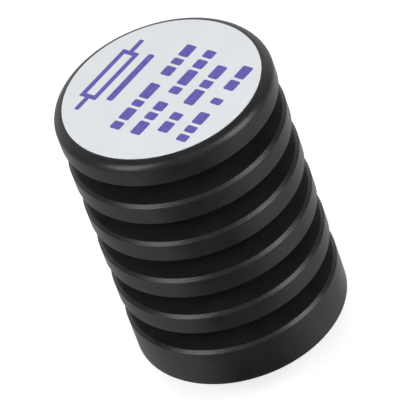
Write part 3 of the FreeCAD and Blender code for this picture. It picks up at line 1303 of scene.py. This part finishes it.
@dataclass
class HiddenPieces:
    """What the base and the neck hide: their solids stay as they are and only get a finish."""

    finishes: tuple[tuple[str, Finish], ...] = (
        ("retaining_ring", BRONZE),
        ("rear_insulator", FLUOROPOLYMER),
        ("insulator_bush", NICKEL),
        ("resistor_flange", STAMPED_NICKEL),
        ("resistor_substrate", CERAMIC),
        ("resistor_lid", CERAMIC),
        ("resistor_tab", BRIGHT_PLATE),
        ("resistor_screws", STAINLESS),
        ("resistor_washers", STAINLESS),
    )

    def build(self) -> list[bpy.types.Object]:
        """Dress the solids.

        Returns:
            The dressed objects.
        """
        dressed = []
        for name, finish in self.finishes:
            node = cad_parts[name]
            node.data.materials.clear()
            node.data.materials.append(finish.material())
            dressed.append(node)
        return dressed


@dataclass
class SoftBox:
    """A soft lamp that points at the middle of the object. Its distance and size are in metres."""

    name: str
    azimuth: float
    elevation: float
    distance: float
    size: Pair
    power: float
    colour: Colour = (1.0, 1.0, 1.0)
    mirrored: bool = True

    def hang(self, target: Vector) -> None:
        """Put the lamp in the scene.

        Args:
            target: The point that it lights, in metres.
        """
        data = bpy.data.lights.new(self.name, "AREA")
        data.shape = "RECTANGLE"
        data.size, data.size_y = self.size
        data.energy = self.power
        data.color = self.colour
        across, up = math.radians(self.azimuth), math.radians(self.elevation)
        away = Vector((math.sin(across) * math.cos(up), -math.cos(across) * math.cos(up), math.sin(up)))
        lamp = in_scene(self.name, data)
        lamp.location = target + away * self.distance
        lamp.rotation_euler = (-away).to_track_quat("-Z", "Y").to_euler()
        lamp.visible_glossy = self.mirrored


@dataclass
class Studio:
    """Plain pale floor, soft lamps and the photograph's viewpoint.

    The floor's levels in reflections are a painted reflection: each pair is a direction, in degrees from the
    front, and the level there, with painted shade in a sector in front. Clip and floor_side are in metres.
    """

    camera_place: tuple[float, float, float] = (0.0, -799.97, 712.67)
    camera_aim: tuple[float, float, float] = (-0.517, -0.561, 54.760)
    camera_roll: float = -20.233
    lens: float = 365.67
    sensor: float = 36.0
    clip: Pair = (0.05, 50.0)
    floor_side: float = 8.0
    floor_shade: Colour = (0.80, 0.80, 0.80)
    floor_glow: float = 0.50
    # Painted reflection: the floor's glow in reflections by direction, with painted shade in front.
    painted_reflection_levels: tuple[Pair, ...] = (
        (-180, 0.78), (-110, 0.35), (-50, 0.44), (-20, 0.0), (12, 0.0), (50, 0.56), (90, 0.43), (180, 0.78),
    )
    sky: float = 0.12
    backdrop: float = 1.0
    backdrop_side: Pair = (0.25, 0.90)
    backdrop_top: Pair = (0.50, 0.80)
    lamps: tuple[SoftBox, ...] = (
        SoftBox("left_box", -58, 33, 1.2, size=(0.62, 0.95), power=6.6, colour=(0.98, 0.98, 1.0)),
        SoftBox("right_box", 58, 27, 1.2, size=(0.62, 0.95), power=7.6),
        SoftBox("front_fill", 0, 42, 1.4, size=(0.8, 0.5), power=6.0, mirrored=False),
        SoftBox("top_box", 180, 80, 1.4, size=(1.2, 1.2), power=4.1, mirrored=False),
    )

    def painted_reflection_level(self, sheet: NodeSheet) -> Socket:
        """Paint the floor's level in reflections: painted shade in front, where the camera stands, and a
        brighter painted reflection round it.

        Args:
            sheet: The floor material's node sheet.

        Returns:
            The socket that gives the level.
        """
        place = sheet.parts(sheet.place)
        turn = sheet.maths("ARCTAN2", place["X"], sheet.maths("MULTIPLY", place["Y"], -1))
        share = sheet.maths("MULTIPLY_ADD", turn, 1 / FULL_TURN, 0.5)
        return sheet.ramp(share, [(angle / 360 + 0.5, (level,) * 3) for angle, level in self.painted_reflection_levels])

    def paper(self) -> bpy.types.Material:
        """Make the floor's material: white to the camera, a painted reflection that is darker in front, and
        clear from below.

        Returns:
            The material.
        """
        material = bpy.data.materials.new("floor_paper")
        material.use_nodes = True
        material.node_tree.nodes.clear()
        sheet = NodeSheet(material.node_tree)
        ray = sheet.add("ShaderNodeLightPath").outputs
        paper = sheet.add("ShaderNodeBsdfDiffuse", {"Color": (*self.floor_shade, 1)}).outputs[0]
        glow = sheet.add("ShaderNodeEmission", {"Strength": self.floor_glow}).outputs[0]
        lit = sheet.add("ShaderNodeAddShader", {0: paper, 1: glow}).outputs[0]
        seen = sheet.mixed(ray["Is Camera Ray"], paper, lit)
        # Painted reflection: to glossy rays the floor glows at the painted level of its direction.
        painted_floor_reflection = sheet.add("ShaderNodeEmission", {"Strength": self.painted_reflection_level(sheet)}).outputs[0]
        reflected = sheet.maths("MAXIMUM", ray["Is Glossy Ray"], ray["Is Transmission Ray"])
        clear = sheet.add("ShaderNodeBsdfTransparent").outputs[0]
        below = sheet.add("ShaderNodeNewGeometry").outputs["Backfacing"]
        whole = sheet.mixed(below, sheet.mixed(reflected, seen, painted_floor_reflection), clear)
        sheet.add("ShaderNodeOutputMaterial", {"Surface": whole})
        return material

    def floor(self) -> None:
        """Lay the floor."""
        mesh = bmesh.new()
        bmesh.ops.create_grid(mesh, x_segments=1, y_segments=1, size=self.floor_side / 2)
        floor = in_scene("floor", stored(mesh, "floor"))
        floor.data.materials.append(self.paper())

    def world(self) -> None:
        """Make the surroundings: white to the camera, and to the object a white backdrop in a dim room.

        The backdrop's sides and top are the parts of a direction that lead back and up.
        """
        world = bpy.data.worlds.new("studio")
        bpy.context.scene.world = world
        world.use_nodes = True
        sheet = NodeSheet(world.node_tree)
        direction = sheet.parts(sheet.coordinates["Generated"])
        behind = sheet.spread(direction["Y"], self.backdrop_side, (0, self.backdrop - self.sky), Change.SOFT)
        below = sheet.spread(direction["Z"], self.backdrop_top, (1, 0), Change.SOFT)
        level = sheet.maths("MULTIPLY_ADD", behind, below, self.sky)
        camera = sheet.add("ShaderNodeLightPath").outputs["Is Camera Ray"]
        background = world.node_tree.nodes["Background"].inputs
        background["Color"].default_value = (1, 1, 1, 1)
        sheet.tree.links.new(sheet.maths("MAXIMUM", camera, level), background["Strength"])

    def camera(self) -> None:
        """Set the camera at the photograph's viewing angle."""
        data = bpy.data.cameras.new("viewpoint")
        data.lens = self.lens
        data.sensor_width = self.sensor
        data.clip_start, data.clip_end = self.clip
        camera = in_scene("viewpoint", data)
        place, aim = Vector(self.camera_place) * MM, Vector(self.camera_aim) * MM
        level = (aim - place).to_track_quat("-Z", "Y").to_matrix()
        roll = Matrix.Rotation(math.radians(self.camera_roll), 3, "Z")
        camera.matrix_world = Matrix.Translation(place) @ (level @ roll).to_4x4()
        bpy.context.scene.camera = camera

    def set_up(self) -> None:
        """Lay the floor, hang the lamps and set the camera."""
        bpy.context.scene.view_settings.view_transform = "Standard"
        self.floor()
        self.world()
        low, high = CAD_BOX
        for lamp in self.lamps:
            lamp.hang((low + high) / 2)
        self.camera()


def main() -> None:
    """Build the sub-assemblies in order, report each piece and set up the studio."""
    logging.basicConfig(level=logging.INFO, format="%(message)s")
    parts = (FinnedBody(), RatingLabel(), CouplingNut(), ScrewOnPlug(), FlangeFasteners(), HiddenPieces())
    for part in parts:
        for piece in part.build():
            log.info("%s: %s, %d faces", type(part).__name__, piece.name, len(piece.data.polygons))
    Studio().set_up()


if __name__ == "__main__":
    main()
